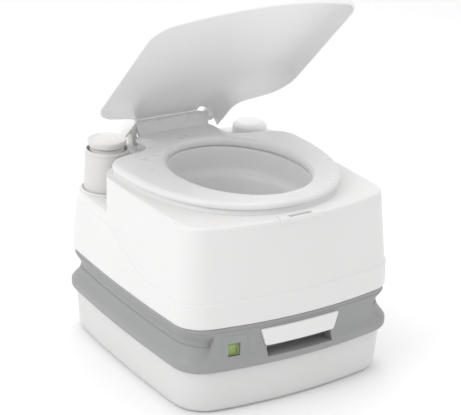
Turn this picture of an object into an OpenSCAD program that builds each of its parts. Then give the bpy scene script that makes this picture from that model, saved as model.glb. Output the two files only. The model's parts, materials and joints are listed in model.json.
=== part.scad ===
// Portable camp toilet: a flush-water tank with seat, lid and bellows pump, standing on a
// detachable waste tank with a slide valve. Millimetres, +Z up, front towards -Y.
// Origin: centre of the footprint, on the ground.

/* [Overall] */
// Width over the widest lip
body_w = 383; // [370:1:395]
// Depth over the widest lip, front to back
body_d = 427; // [415:1:440]
// Height with the lid closed
closed_h = 330; // [326:1:334]

/* [Levels] */
// Underside of the grey band
band_z = 69; // [66:1:72]
// Joint between waste tank and flush tank
split_z = 138; // [137:1:139]
// Step line at the top of the flush tank's skirt
skirt_z = 177; // [170:1:184]
// Deck of the flush tank
deck_z = 289; // [288:1:290]
// Floor of the pump notch
notch_z = 238; // [234:1:242]

/* [Walls] */
// Wall of the moulded tanks
wall = 3; // [2.5:0.5:3.5]
// Gap between pieces on different bodies
gap = 0.4; // [0.3:0.05:0.5]

/* [Seat and lid] */
// Height of the hinge axis
hinge_z = 314; // [313:0.5:315]
// Distance of the hinge axis behind the centre
hinge_y = 190; // [189:0.5:191]
// Half width of the seat opening
opening_a = 102; // [98:1:104]
// Half length of the seat opening
opening_b = 129; // [125:1:131]
// Centre of the seat opening
opening_y = -27; // [-29:1:-25]
// How far the lid stands open at rest
lid_open = 45; // [40:1:50]

/* [Slide valve] */
// Radius of the valve's way through
valve_r = 46; // [44:1:46]
// Middle of the valve
valve_y = -20; // [-24:1:-16]
// Half width of the pull handle at its top
handle_half = 68.7; // [66:0.5:70]

/* [Pump and filler] */
// Pump axis left of the centre
pump_x = -133; // [-134:0.5:-132]
// Pump axis behind the centre
pump_y = 147; // [146:0.5:148]
// Filler axis right of the centre
fill_x = 133; // [130:0.5:136]
// Filler axis behind the centre
fill_y = 150; // [148:0.5:152]

/* [Hidden] */
$fn = 48;
half_w = body_w / 2;
half_d = body_d / 2;
axis_pin_r = 3;
axis_bore_r = 3.05;
beam_half = 62;
post_in = beam_half + gap;
post_out = 71.6;
blade_r = valve_r + 8;
pocket_back = -185;
notch_half = 6.2;
knuckle_out = 82;
latch_x = 100;
latch_y = 208.5;
latch_floor = 199.5;
gauge_x = -110;
float_y = -165;
float_z = 103;
pump_top = 320;
white = "white";
light_grey = [0.86, 0.86, 0.86];
grey = [0.62, 0.63, 0.64];
dark = [0.15, 0.15, 0.16];

// ---- outlines ----

// n+1 points on a circle about c from angle t0 to t1
function arc(c, r, t0, t1, n) =
    [for (i = [0:n]) c + r * [cos(t0 + (t1 - t0) * i / n), sin(t0 + (t1 - t0) * i / n)]];

// Where circles r1 about c1 and r2 about c2 meet, left of the line from c1 to c2
function meet(c1, r1, c2, r2) =
    let (d = c2 - c1, l = norm(d), x = (r1 * r1 - r2 * r2 + l * l) / (2 * l))
    c1 + d / l * x + [-d[1], d[0]] / l * sqrt(r1 * r1 - x * x);

function turn(v) = atan2(v[1], v[0]);

function mirror_x(p) = [for (i = [len(p) - 1:-1:0]) [-p[i][0], p[i][1]]];
function mirror_y(p) = [for (i = [len(p) - 1:-1:0]) [p[i][0], -p[i][1]]];

// A quarter of a bowed, rounded rectangle, from the right side's middle to the rear's middle
function bowed_quarter(a, b, bow_f, bow_s, r) =
    let (rf = (a * a + bow_f * bow_f) / (2 * bow_f),
         rs = (b * b + bow_s * bow_s) / (2 * bow_s),
         cf = [0, b - rf],
         cs = [a - rs, 0],
         c = meet(cf, rf - r, cs, rs - r),
         c2 = c[0] > 0 && c[1] > 0 ? c : meet(cs, rs - r, cf, rf - r),
         ts = turn(c2 - cs),
         tf = turn(c2 - cf))
    concat(arc(cs, rs, 0, ts, 3), arc(c2, r, ts + 4, tf - 4, 8), arc(cf, rf, tf, 90, 5));

// The whole outline, counter-clockwise
function bowed(a, b, bow_f, bow_s, r) =
    let (q = bowed_quarter(a, b, bow_f, bow_s, r),
         top = concat(q, [for (i = [1:len(q) - 1]) mirror_x(q)[i]]))
    concat(top, [for (i = [1:len(top) - 2]) mirror_y(top)[i]]);

// Body outline: d inside the widest lip, with the front's bow and the corners' radius
function body(d, bow_f, r) = bowed(half_w - d, half_d - d, bow_f, 9, r);

function ellipse(a, b, y0, n) = [for (i = [0:n - 1]) [a * cos(360 * i / n), y0 + b * sin(360 * i / n)]];

// Lid outline, drawn in by d all round but for its rear end
function lid_outline(d, rear = 192) =
    let (x_side = 177 - d, x_neck = 90 - d, slope = 12,
         c_in = [113, 136], r_in = 23 + d,
         c_out = [125, 56], r_out = 52 - d,
         r_front = 540 - d, c_front = [0, -195 + 540],
         r_corner = 42 - d,
         cx = 177 - 42,
         cy = c_front[1] - sqrt(pow(540 - 42, 2) - cx * cx),
         t_f = turn([cx, cy] - c_front),
         right = concat(
             arc([cx, cy], r_corner, t_f, 0, 7),
             arc(c_out, r_out, 0, 90 - slope, 7),
             [for (i = [7:-1:0]) c_in + r_in * [cos(180 + i * (78) / 7), sin(180 + i * (78) / 7)]],
             [[x_neck, rear]]),
         front = arc(c_front, r_front, 270, t_f + 360, 5))
    concat([for (i = [0:4]) front[i]], right, mirror_x(right),
           [for (i = [4:-1:1]) [-front[i][0], front[i][1]]]);

// Seat outline: a full round front, side shoulders and a neck back to the hinge
function seat_outline(d) =
    let (a = 166 - d, b = 219 - d, y0 = 40, n = 2.25,
         front = [for (i = [0:14]) let (t = 270 + 90 * i / 14)
             [a * pow(cos(t) + 1e-9, 2 / n), y0 - b * pow(-sin(t) + 1e-9, 2 / n)]],
         c_out = [124, 58], r_out = 42 - d,
         c_in = [106, 139.5], r_in = 34 + d,
         right = concat(
             [for (i = [1:13]) front[i]],
             arc(c_out, r_out, 0, 78, 6),
             [for (i = [6:-1:0]) c_in + r_in * [cos(180 + i * 13), sin(180 + i * 13)]],
             [[72 - d, 166]]))
    concat([[0, y0 - b]], right, mirror_x(right));

// ---- solids from outlines ----

// Closed solid through a list of [outline, z]; every outline has the same number of points
module loft(levels) {
    n = len(levels[0][0]);
    m = len(levels);
    points = [for (l = levels) for (p = l[0]) [p[0], p[1], l[1]]];
    sides = [for (j = [0:m - 2]) for (i = [0:n - 1]) let (k = (i + 1) % n)
        [j * n + i, j * n + k, (j + 1) * n + k, (j + 1) * n + i]];
    polyhedron(
        points = points,
        faces = concat(
            [for (f = sides) [f[2], f[1], f[0]]],
            [for (f = sides) [f[3], f[2], f[0]]],
            [[for (i = [0:n - 1]) i]],
            [[for (i = [n - 1:-1:0]) (m - 1) * n + i]]));
}

// Closed ring through a list of [outline, z], the last joined to the first
module ring_loft(levels) {
    n = len(levels[0][0]);
    m = len(levels);
    points = [for (l = levels) for (p = l[0]) [p[0], p[1], l[1]]];
    sides = [for (j = [0:m - 1]) for (i = [0:n - 1]) let (k = (i + 1) % n, up = (j + 1) % m)
        [j * n + i, j * n + k, up * n + k, up * n + i]];
    polyhedron(points = points, faces = concat(
        [for (f = sides) [f[2], f[1], f[0]]],
        [for (f = sides) [f[3], f[2], f[0]]]));
}

module slice(level) {
    translate([0, 0, level[1]]) linear_extrude(0.01) polygon(level[0]);
}

// As loft, for outlines that bulge everywhere
module hull_loft(levels) {
    for (j = [0:len(levels) - 2]) hull() {
        slice(levels[j]);
        slice(levels[j + 1]);
    }
}

module tube(r_out, r_in, h) {
    difference() {
        cylinder(r = r_out, h = h);
        translate([0, 0, -1]) cylinder(r = r_in, h = h + 2);
    }
}

// Upright box with rounded corners, standing on z = 0
module slab(w, d, h, r) {
    linear_extrude(h) {
        square([w - 2 * r, d], center = true);
        square([w, d - 2 * r], center = true);
        for (x = [-1, 1], y = [-1, 1])
            translate([x * (w / 2 - r), y * (d / 2 - r)]) circle(r);
    }
}

// Lies along X, centred
module bar_x(r, l) {
    rotate([0, 90, 0]) cylinder(r = r, h = l, center = true);
}

// Low rib between two points
module rib(p, q, r, h) {
    hull() {
        translate(p) cylinder(r = r, h = h, $fn = 12);
        translate(q) cylinder(r = r, h = h, $fn = 12);
    }
}

// ---- waste tank ----

// Inset of the band's side groove below the widest lip, at height z
groove = [[69, 3.4], [72, 0.8], [74.5, 0], [84, 0], [87.5, 1.2], [93, 5.8], [99, 9], [106.8, 11.2],
          [107.2, 12.6], [113, 12.4], [120, 9.6], [126, 6.2], [130.5, 4.4], [131, 5], [137.6, 5]];

module waste_tank() color(white) {
    edge = [[0, 20], [1.5, 15], [5, 11], [10, 9.2], [20, 8.4], [band_z - gap / 2, 5.6]];
    loft(concat(
        [for (e = edge) [body(e[1], 20, 54 - e[1] / 4), e[0]]],
        [[body(5.6 + wall, 20, 50), band_z - gap / 2]],
        [[body(9 + wall, 20, 48), wall + 8]],
        [[body(20 + wall, 20, 46), wall]]));
}

module collar_cavity() {
    loft([for (l = [[8.6, band_z - 1], [5, 75], [4.6, 84], [6, 88], [10.4, 94.5], [13.4, 100], [16.6, 107],
                    [16.4, 113], [13.8, 120], [10.6, 126], [9, 130], [9, split_z - gap - 4]])
        [body(l[0], 23, 43), l[1]]]);
}

module front_panel() {
    intersection() {
        loft([[body(4.5, 23, 46), 80], [body(4.5, 23, 46), 131]]);
        translate([0, -100, 0]) rotate([90, 0, 0]) linear_extrude(130)
            polygon([[-157, 82], [157, 82], [139, 131], [-139, 131]]);
    }
}

// Part of the curved front wall between two insets, from x0 to x1 and z0 to z1
module front_strip(d_out, d_in, x0, x1, z0, z1) {
    intersection() {
        translate([x0, -half_d - 1, z0]) cube([x1 - x0, 60, z1 - z0]);
        linear_extrude(200) difference() {
            polygon(body(d_out, 23, 46));
            polygon(body(d_in, 23, 46));
        }
    }
}

// Recess for the pour spout, in the rear wall
module spout_bay(extra) {
    translate([-148 - extra, 158 - extra, 74 - extra])
        cube([116 + 2 * extra, 80, 57 + 2 * extra]);
}

module handle_pocket(extra) {
    front = -half_d - 20;
    translate([-57 - extra, front, 82 - extra])
        cube([114 + 2 * extra, pocket_back - front + extra, 45 + 2 * extra]);
}

// The pull handle's face plate, grown by extra
module handle_face(extra) {
    translate([0, -half_d + 11 + extra, 0]) rotate([90, 0, 0]) linear_extrude(20 + extra)
        polygon([[-handle_half - extra, 127 + extra], [-60.5 - extra, 101], [-58.5 - extra, 99.5 - extra],
                 [58.5 + extra, 99.5 - extra], [60.5 + extra, 101], [handle_half + extra, 127 + extra]]);
}

module tank_collar() color(grey) {
    difference() {
        union() {
            loft([for (g = groove) [body(g[1], 23, 46), g[0]]]);
            front_panel();
            mirror([0, 1, 0]) front_panel();
        }
        difference() {
            collar_cavity();
            translate([0, 0, -0.01]) handle_pocket(wall);
            spout_bay(wall);
            translate([latch_x - 17, latch_floor - wall, 81]) cube([34, 30, 40]);
        }
        handle_pocket(0);
        handle_face(gap);
        spout_bay(0);
        // Way for the valve's stem, the gauge window and the sunk edge round the valve
        translate([-22, pocket_back - 5.5, 117]) cube([44, 20, 9]);
        translate([-117.5, -half_d - 20, 93.5]) cube([16.8, 60, 17]);
        front_strip(3, 6.1, -128.6, -89.4, 84.4, 124.6);
        front_strip(3, 8.1, -119.4, -100.6, 91.5, 112);
        translate([latch_x - 14, latch_floor, 84]) cube([28, 30, 34]);
        translate([0, valve_y, split_z - gap - 12]) cylinder(r = 60.5, h = 20);
        translate([60, 150, split_z - gap - 12]) cylinder(r = 13, h = 20);
    }
    // Stiffening ribs under the deck
    for (x = [-120, -100, 100, 120])
        for (y = [-90, 60])
            rib([x, y, 130], [x, y + 50, 130], 2, 4);
}

module valve_neck() color(light_grey) {
    translate([0, valve_y, 0]) rotate_extrude()
        polygon([[valve_r, 121.4], [valve_r + 6, 121.4], [valve_r + 6, 133], [60, 133], [60, 136.2],
                 [valve_r + 4, 136.2], [valve_r + 4, 134.6], [valve_r, 134.6]]);
}

module valve_frame() color(grey) {
    translate([0, valve_y, 0]) difference() {
        union() {
            translate([0, 0, 113]) slab(156, 150, 4, 10);
            for (x = [-72, 72]) translate([x, 0, 116]) slab(10, 140, 17.4, 4);
        }
        translate([0, 0, 110]) cylinder(r = valve_r, h = 10);
        for (x = [-72, 72], y = [-58, 58]) translate([x, y, 110]) cylinder(r = 1.6, h = 30);
    }
}

module valve_screws() color("silver") {
    for (x = [-72, 72], y = [-58, 58]) translate([x, valve_y + y, 109.6]) {
        cylinder(r = 3.4, h = 3.3);
        translate([0, 0, 3.2]) cylinder(r = 1.5, h = 14);
    }
}

module lip_seal() color(dark) {
    translate([0, valve_y, 134.7]) tube(valve_r + 3.9, valve_r + 0.2, 2.9);
}

module level_window() color("yellowgreen") {
    front_strip(5.2, 8, -119.3, -100.7, 91.6, 111.9);
}

module level_bezel() color(grey) {
    difference() {
        front_strip(3.9, 6, -128.5, -89.5, 84.5, 124.5);
        translate([-119.4, -half_d - 1, 91.5]) cube([18.8, 40, 20.5]);
    }
}

module float_bracket() color(light_grey) {
    difference() {
        for (x = [-9, 6]) translate([gauge_x + x, -172, 97]) cube([3, 14, 36.6]);
        translate([gauge_x, float_y, float_z]) bar_x(1.55, 40);
    }
}

module float_pin() color("silver") {
    translate([gauge_x, float_y, float_z]) bar_x(1.5, 17);
}

module float_arm() color(light_grey) {
    difference() {
        union() {
            translate([gauge_x, float_y, float_z]) bar_x(4, 11);
            translate([gauge_x - 2, -190, float_z - 2]) cube([4, 72, 4]);
            translate([gauge_x - 2, -122, 50.1]) cube([4, 4, float_z - 50]);
        }
        translate([gauge_x, float_y, float_z]) bar_x(1.56, 40);
    }
}

module float_bulb() color(white) {
    translate([gauge_x, -120, 30]) cylinder(r = 14, h = 20);
}

module gauge_flag() color("yellowgreen") {
    translate([-117, -192, 85]) cube([15.8, 2, 19.5]);
}

module spout_socket() color(grey) {
    translate([-60, 186, 74]) tube(20, 15.5, 9);
}

module vent_housing() color(grey) {
    translate([60, 150, 0]) {
        translate([0, 0, 118]) tube(12.9, 8.4, 19.4);
        translate([0, 0, 117]) tube(12.9, 4.2, 1.2);
    }
}

module latch_bracket() color(grey) {
    difference() {
        for (x = [-13, 9]) translate([latch_x + x, latch_floor + 0.1, 98]) cube([4, 13, 16]);
        translate([latch_x, latch_y, 106]) bar_x(1.55, 40);
    }
}

module latch_pin() color("silver") {
    translate([latch_x, latch_y, 106]) bar_x(1.5, 25.5);
}

module rear_latch() color(white) {
    difference() {
        union() {
            translate([latch_x, latch_y, 106]) bar_x(3.5, 16);
            translate([latch_x - 8, latch_y - 1, 87]) cube([16, 3, 61]);
            translate([latch_x - 8, latch_y - 1, 146]) cube([16, 5, 3]);
        }
        translate([latch_x, latch_y, 106]) bar_x(1.56, 40);
    }
}

// ---- moving pieces of the waste tank ----

module valve_blade() color("silver") {
    translate([0, valve_y, 118]) {
        cylinder(r = blade_r, h = 3);
        translate([-blade_r, -blade_r, 0]) cube([2 * blade_r, blade_r, 3]);
        translate([-20, -half_d - valve_y + 13.5, 0]) cube([40, half_d + valve_y - 40, 3]);
    }
}

module pull_handle() color(white) {
    difference() {
        intersection() {
            handle_face(0);
            linear_extrude(200) polygon(body(0.3, 23, 46));
        }
        translate([-52, -half_d + 4, 98]) cube([104, 12, 14]);
    }
    for (z = [114.5, 121.2]) translate([-24, -half_d + 10.5, z]) cube([48, 15.5, 3.3]);
}

module handle_screws() color("silver") {
    for (x = [-14, 14]) translate([x, -half_d + 22, 111.6]) {
        cylinder(r = 3, h = 2.9);
        translate([0, 0, 2.8]) cylinder(r = 1.4, h = 8);
    }
}

module pour_spout() color(white) {
    translate([-60, 186, 84.4]) {
        difference() {
            union() {
                cylinder(r = 19.5, h = 34);
                translate([0, 0, -8]) cylinder(r = 15.1, h = 9);
                translate([0, 0, 19]) rotate([0, -90, 0]) cylinder(r = 15, h = 62);
            }
            translate([0, 0, -9]) cylinder(r = 12.5, h = 40);
            translate([0, 0, 19]) rotate([0, -90, 0]) cylinder(r = 12, h = 70);
        }
    }
}

module spout_ring() color(dark) {
    translate([-60, 186, 83.3]) tube(19, 15.6, 1.1);
}

module spout_cap() color(light_grey) {
    translate([-60 - 62.6, 186, 103.4]) rotate([0, -90, 0]) {
        difference() {
            union() {
                translate([0, 0, -9]) cylinder(r = 17.8, h = 14);
                for (i = [0:11]) rotate(30 * i) translate([17.2, 0, -9]) cylinder(r = 1.4, h = 14, $fn = 16);
            }
            translate([0, 0, -10]) cylinder(r = 15.3, h = 12);
        }
    }
}

module spout_gasket() color(dark) {
    translate([-60 - 62.6, 186, 103.4]) rotate([0, -90, 0]) translate([0, 0, 0.3]) cylinder(r = 15, h = 1.6);
}

module vent_button() color(white) {
    translate([60, 150, 0]) {
        translate([0, 0, 122]) cylinder(r = 8, h = 14.6);
        translate([0, 0, 118.6]) cylinder(r = 3.9, h = 4);
    }
}

// ---- flush tank ----

// Skirt, then the drafted body up to the deck: [inset, front bow, corner radius, height]
shell = [[5, 25, 44, split_z], [3, 25, 45, split_z + 1.2], [2.3, 25, 45, split_z + 4],
         [2.9, 25, 45, skirt_z - 1], [4.4, 25, 44, skirt_z + 1], [9, 28, 40, 235],
         [12.6, 30, 37, deck_z - 8], [14, 30, 36, deck_z - 1.5], [15, 30, 35, deck_z]];

// Bowl: [half width, half length, centre, height]
bowl_line = [[113, 140, -27, 296.2], [106, 133, -27, 292], [103.5, 130, -27, 262],
             [101.5, 128, -27, 257], [95, 121, -27, 254], [88, 108, -25, 224],
             [70, 80, -22, 182], [54, 56, valve_y, 158], [50, 50, valve_y, 146]];

// The bowl's outer form grown by out, run down to the given bottom and up to top
module bowl_form(out, bottom, top, rim) {
    n = len(bowl_line) - 1;
    hull_loft(concat(
        [[ellipse(bowl_line[n][0] + out, bowl_line[n][1] + out, valve_y, 48), bottom]],
        [for (i = [n:-1:1]) let (b = bowl_line[i]) [ellipse(b[0] + out, b[1] + out, b[2], 48), b[3]]],
        [[ellipse(rim + out, rim + 27 + out, -27, 48), 293.6]],
        [[ellipse(rim + out, rim + 27 + out, -27, 48), top]]));
}

module notch(extra) {
    difference() {
        translate([-230, 56 - extra, notch_z - extra]) cube([230 - 84 + extra, 200, 80]);
        translate([0, 0, notch_z - 20]) linear_extrude(100) polygon(lid_outline(1.5 + extra));
        translate([-90, 180, notch_z - 20]) cube([200, 60, 100]);
    }
    translate([pump_x, pump_y, notch_z - extra]) cylinder(r = 43 + extra, h = 80);
}

module flush_tank() color(white) {
    difference() {
        union() {
            loft([for (s = shell) [body(s[0], s[1], s[2]), s[3]]]);
            // Raised platform under the seat
            loft([[seat_outline(-1), deck_z - 4], [seat_outline(1.5), deck_z + 0.6],
                  [seat_outline(3.4), deck_z + 4], [seat_outline(4), 296.2]]);
        }
        // Water space
        difference() {
            loft([[body(5.6, 25, 41), split_z + 4], [body(6, 25, 41), skirt_z - 2],
                  [body(8, 25, 40), skirt_z + 2], [body(12.4, 28, 36), 235],
                  [body(16, 30, 33), deck_z - 8], [body(18.5, 30, 31), deck_z - 4]]);
            notch(wall);
            for (i = [0:7])
                rib([170, -100 + 25 * i, split_z + 3], [186, -100 + 25 * i, split_z + 3], 1.5, 130);
        }
        bowl_form(0.4, 120, 300, 113);
        notch(0);
        // Pump well, filler hole, latch slot
        translate([pump_x, pump_y, notch_z - 10]) cylinder(r = 34, h = 12);
        translate([fill_x, fill_y, deck_z - 30]) cylinder(r = 24.4, h = 60);
        translate([-37, -212, deck_z - 5.2]) cube([74, 25.4, 10]);
    }
}

module bowl() color(light_grey) {
    difference() {
        bowl_form(0, 141.6, 296.2, 113);
        bowl_form(-2.6, 140, 300, 106);
    }
}

module bowl_gasket() color(dark) {
    translate([0, valve_y, 138.1]) tube(50, 45, 3.4);
}

module front_latch_plate() color(white) {
    difference() {
        translate([0, -194.2, deck_z - 5]) slab(73, 14.4, 6.3, 2);
        translate([0, -194.6, deck_z - 7]) slab(39.2, 7, 12, 1);
    }
}

module hinge_brackets() color(white) {
    for (side = [-1, 1]) translate([side * (post_in + post_out) / 2, 0, 0]) difference() {
        union() {
            translate([0, hinge_y, hinge_z]) bar_x(9, post_out - post_in);
            rotate([90, 0, 90]) translate([0, 0, -(post_out - post_in) / 2])
                linear_extrude(post_out - post_in)
                    polygon([[174, deck_z], [193, deck_z], [198.5, 311], [190, hinge_z], [181.5, 311]]);
        }
        translate([0, hinge_y, hinge_z]) bar_x(axis_pin_r, 20);
    }
}

module hinge_pins() color("silver") {
    for (side = [-1, 1]) translate([side * 66.5, hinge_y, hinge_z]) bar_x(axis_pin_r - 0.01, 31);
}

// ---- flush pump and filler ----

module pump_cylinder() color([0.94, 0.93, 0.9]) {
    translate([pump_x, pump_y, 0]) difference() {
        union() {
            translate([0, 0, 184]) cylinder(r = 33.6, h = notch_z - 183);
            translate([0, 0, notch_z + 0.4]) cylinder(r1 = 36.6, r2 = 34, h = 63);
            translate([0, 0, notch_z + 63.4]) cylinder(r1 = 34, r2 = 32.4, h = 3.6);
        }
        translate([0, 0, 187]) cylinder(r = 31.5, h = 130);
        translate([0, 0, 180]) cylinder(r = 4, h = 10);
    }
}

module pump_collar() color(white) {
    translate([pump_x, pump_y, notch_z]) tube(42.6, 38.6, 3);
}

module suction_tube() color(light_grey) {
    translate([pump_x, pump_y, 146]) tube(6, 4, 38);
}

// Point at t on the hose's curve, from the pump's foot under the notch to the nozzle
function hose_point(t) =
    let (p = [[-112, 117, 215], [-112, 84, 213], [-116, 22, 226], [-109, 13, 271]])
    pow(1 - t, 3) * p[0] + 3 * pow(1 - t, 2) * t * p[1] + 3 * (1 - t) * t * t * p[2] + t * t * t * p[3];

module flush_hose() color(light_grey) {
    steps = 10;
    for (i = [0:steps - 1]) hull() {
        translate(hose_point(i / steps)) sphere(4, $fn = 12);
        translate(hose_point((i + 1) / steps)) sphere(4, $fn = 12);
    }
}

module flush_nozzle() color(light_grey) {
    translate([-104, 12, 271]) {
        rotate([0, 90, 0]) translate([0, 0, -6]) cylinder(r = 4.5, h = 16);
        translate([4, -12, -5]) cube([6, 24, 10]);
    }
}

module fill_neck() color(white) {
    translate([fill_x, fill_y, 0]) {
        translate([0, 0, deck_z - 28]) tube(24, 20.5, 28);
        translate([0, 0, deck_z]) tube(27.5, 20.5, 2);
    }
}

module fill_cap() color(white) {
    translate([fill_x, fill_y, deck_z + 2.4]) difference() {
        union() {
            cylinder(r = 28.5, h = 11);
            translate([0, 0, 11]) cylinder(r1 = 28.5, r2 = 21.5, h = 5.6);
        }
        translate([0, 0, -1]) cylinder(r = 25, h = 11);
    }
    translate([fill_x, fill_y, deck_z - 8]) tube(20, 17, 21);
}

module fill_gasket() color(dark) {
    translate([fill_x, fill_y, deck_z + 2.4]) tube(24.8, 20.1, 1.6);
}

module pump_rod() color(light_grey) {
    translate([pump_x, pump_y, 236]) cylinder(r = 4, h = 76.4);
}

module pump_bellows() color([0.9, 0.89, 0.86]) {
    folds = 9;
    pitch = 13.4;
    low = 189;
    edge = [for (i = [0:folds - 1]) for (p = [[23, 0], [27.5, pitch / 2]]) [p[0], low + i * pitch + p[1]]];
    translate([pump_x, pump_y, 0]) rotate_extrude() polygon(concat(
        edge, [[24, low + folds * pitch], [22, low + folds * pitch]],
        [for (i = [len(edge) - 1:-1:0]) [edge[i][0] - 2, edge[i][1]]]));
}

module pump_pad() color([0.95, 0.94, 0.91]) {
    translate([pump_x, pump_y, 0]) rotate_extrude() polygon([
        [0, 312.5], [25, 312.5], [25, 309.8], [29, 309.8], [29.4, 313.4], [30.7, 314.4], [30.7, 319],
        [29.7, pump_top], [27.6, pump_top], [25.5, 317.6], [0, 316.6]]);
}

// ---- seat and lid ----

// Point of the seat opening, grown by out, that faces outline point p
function opening_point(p, out) =
    let (a = opening_a + out, b = opening_b + out, t = atan2((p[1] - opening_y) / b, p[0] / a))
    [a * cos(t), opening_y + b * sin(t)];

// Outline between the opening's edge (share 0) and the seat's edge (share 1)
function between(share) =
    [for (p = seat_outline(0)) let (e = opening_point(p, 0)) e + (p - e) * share];

module seat() color(light_grey) {
    rim = [for (l = [[2, 297.1], [0.4, 298], [0, 301], [1, 304], [3.4, 306.4], [7, 307.7]])
        [seat_outline(l[0]), l[1]]];
    top = [for (l = [[0.6, 308.8], [0.38, 310.3], [0.2, 311.2], [0.1, 310.8], [0.04, 309.4]])
        [between(l[0]), l[1]]];
    inside = [for (l = [[0.4, 306], [0, 303], [0.6, 299], [2, 297.1]])
        [[for (p = seat_outline(0)) opening_point(p, l[0])], l[1]]];
    ring_loft(concat(rim, top, inside));
}

module seat_hinge_bar() color(light_grey) {
    difference() {
        union() {
            translate([0, hinge_y, hinge_z]) bar_x(10, 2 * beam_half);
            rotate([90, 0, 90]) translate([0, 0, -beam_half]) linear_extrude(2 * beam_half)
                polygon([[166.1, 297.6], [182, 308], [190, 314], [188, 323.8], [181, 318.5], [174, 311],
                         [166.1, 306.6]]);
        }
        for (side = [-1, 1]) translate([side * 56, hinge_y, hinge_z]) bar_x(axis_bore_r, 14);
    }
}

module seat_bumpers() color(dark) {
    for (x = [-130, 130], y = [-40, 60]) translate([x, y, 296.5]) cylinder(r = 5, h = 0.6);
}

// Turns the closed lid to where it stands at rest
module opened() {
    translate([0, hinge_y, hinge_z]) rotate([-lid_open, 0, 0]) translate([0, -hinge_y, -hinge_z])
        children();
}

module lid() color(white) opened() {
    crown = closed_h - 330;
    outer = [[1.2, 294.6], [0.3, 295.4], [0, 297], [0.4, 306], [1.2, 314], [3, 320], [6, 324.4],
             [10.5, 327.4], [17, 329.2], [27, 330 + crown]];
    inner = [[30, 326.8 + crown], [24, 326.2 + crown], [16, 324.6], [10, 321], [6.6, 316], [5, 308],
             [3.8, 299], [3, 293]];
    open_end = 196;
    difference() {
        loft([for (l = outer) [lid_outline(l[0]), l[1]]]);
        loft([for (i = [len(inner) - 1:-1:0]) [lid_outline(inner[i][0], open_end), inner[i][1]]]);
        for (side = [-1, 1])
            translate([side * 67 - notch_half, 178, 280]) cube([2 * notch_half, 30, 60]);
    }
}

module lid_knuckles() color(white) opened() {
    for (side = [-1, 1]) translate([side * (post_out + gap + knuckle_out) / 2, 0, 0]) difference() {
        width = knuckle_out - post_out - gap;
        union() {
            translate([0, hinge_y, hinge_z]) bar_x(9, width);
            rotate([90, 0, 90]) translate([0, 0, -width / 2]) linear_extrude(width)
                polygon([[hinge_y - 9, hinge_z], [hinge_y, hinge_z], [hinge_y, 325.6], [165, 325.6]]);
        }
        translate([0, hinge_y, hinge_z]) bar_x(axis_bore_r, 30);
    }
}

waste_tank();
tank_collar();
valve_neck();
valve_frame();
valve_screws();
lip_seal();
level_window();
level_bezel();
float_bracket();
float_pin();
spout_socket();
vent_housing();
latch_bracket();
latch_pin();
valve_blade();
pull_handle();
handle_screws();
float_arm();
float_bulb();
gauge_flag();
pour_spout();
spout_ring();
spout_cap();
spout_gasket();
vent_button();
rear_latch();
flush_tank();
bowl();
bowl_gasket();
front_latch_plate();
hinge_brackets();
hinge_pins();
pump_cylinder();
pump_collar();
suction_tube();
flush_nozzle();
flush_hose();
fill_neck();
pump_rod();
pump_bellows();
pump_pad();
fill_cap();
fill_gasket();
seat();
seat_hinge_bar();
seat_bumpers();
lid();
lid_knuckles();
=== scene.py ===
"""Portable camp toilet: the looks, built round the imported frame.

Shells and moulded pieces are lofts through the same outlines as the frame's, at a finer grain.
Tables of sizes are in millimetres and become metres when a mesh is made.
"""

import json
import math

import bmesh
import bpy
import numpy as np
from mathutils import Matrix, Vector


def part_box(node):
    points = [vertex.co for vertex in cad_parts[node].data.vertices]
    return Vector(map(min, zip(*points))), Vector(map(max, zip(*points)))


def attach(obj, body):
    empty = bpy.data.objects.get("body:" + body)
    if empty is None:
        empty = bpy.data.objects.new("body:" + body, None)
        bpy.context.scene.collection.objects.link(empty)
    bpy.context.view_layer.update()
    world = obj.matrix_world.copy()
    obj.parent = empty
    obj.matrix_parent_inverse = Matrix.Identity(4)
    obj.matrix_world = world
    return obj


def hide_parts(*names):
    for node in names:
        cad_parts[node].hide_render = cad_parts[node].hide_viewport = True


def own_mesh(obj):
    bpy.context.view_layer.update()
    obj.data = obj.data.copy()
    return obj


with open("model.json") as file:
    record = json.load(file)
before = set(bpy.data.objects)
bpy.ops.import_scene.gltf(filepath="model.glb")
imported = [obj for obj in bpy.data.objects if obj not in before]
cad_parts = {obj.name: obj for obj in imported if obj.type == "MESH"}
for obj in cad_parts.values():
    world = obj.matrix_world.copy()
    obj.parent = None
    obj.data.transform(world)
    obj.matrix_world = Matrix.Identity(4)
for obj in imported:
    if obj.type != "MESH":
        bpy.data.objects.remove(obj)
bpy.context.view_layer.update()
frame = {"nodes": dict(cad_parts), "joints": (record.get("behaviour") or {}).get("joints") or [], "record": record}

MM = 0.001
COLUMNS = 512

# ---- sizes taken from the frame ----


def box_mm(node):
    """Lowest and highest corner of a node, in millimetres."""
    low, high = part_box(node)
    return np.array(low) / MM, np.array(high) / MM


collar_low, collar_high = box_mm("tank_collar")
HALF_W = collar_high[0]
HALF_D = -collar_low[1]
BAND_Z = collar_low[2]
SPLIT_Z = box_mm("flush_tank")[0][2]
DECK_Z = 289
NOTCH_Z = box_mm("pump_collar")[0][2]
JOINTS = {j["name"]: j for j in frame["joints"]}
HINGE = np.array(JOINTS["lid_hinge"]["pos_m"]) / MM
BOWL_CENTRE = np.array([0, -27])
LID_OPEN = 45


# ---- camera, light and floor ----


CAMERA_ANGLES = (-32.69, 21.57, 1.88)
CAMERA_DISTANCE = 2.5369
CAMERA_LENS = 126.66
# Height of the point aimed at, and how far it lies to the right of the axis and above that point
AIM_HEIGHT, AIM_RIGHT, AIM_UP = 0.15, 0.00405, 0.0759
# Name, place, diameter and power of each light
LIGHTS = [("key_left", (-2.8, -0.2, 2.1), 1.8, 26), ("top", (0.2, 0.6, 3.0), 2.2, 30),
          ("fill_right", (2.4, -2.0, 1.2), 2.0, 3)]
WORLD_STRENGTH = 0.86


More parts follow.
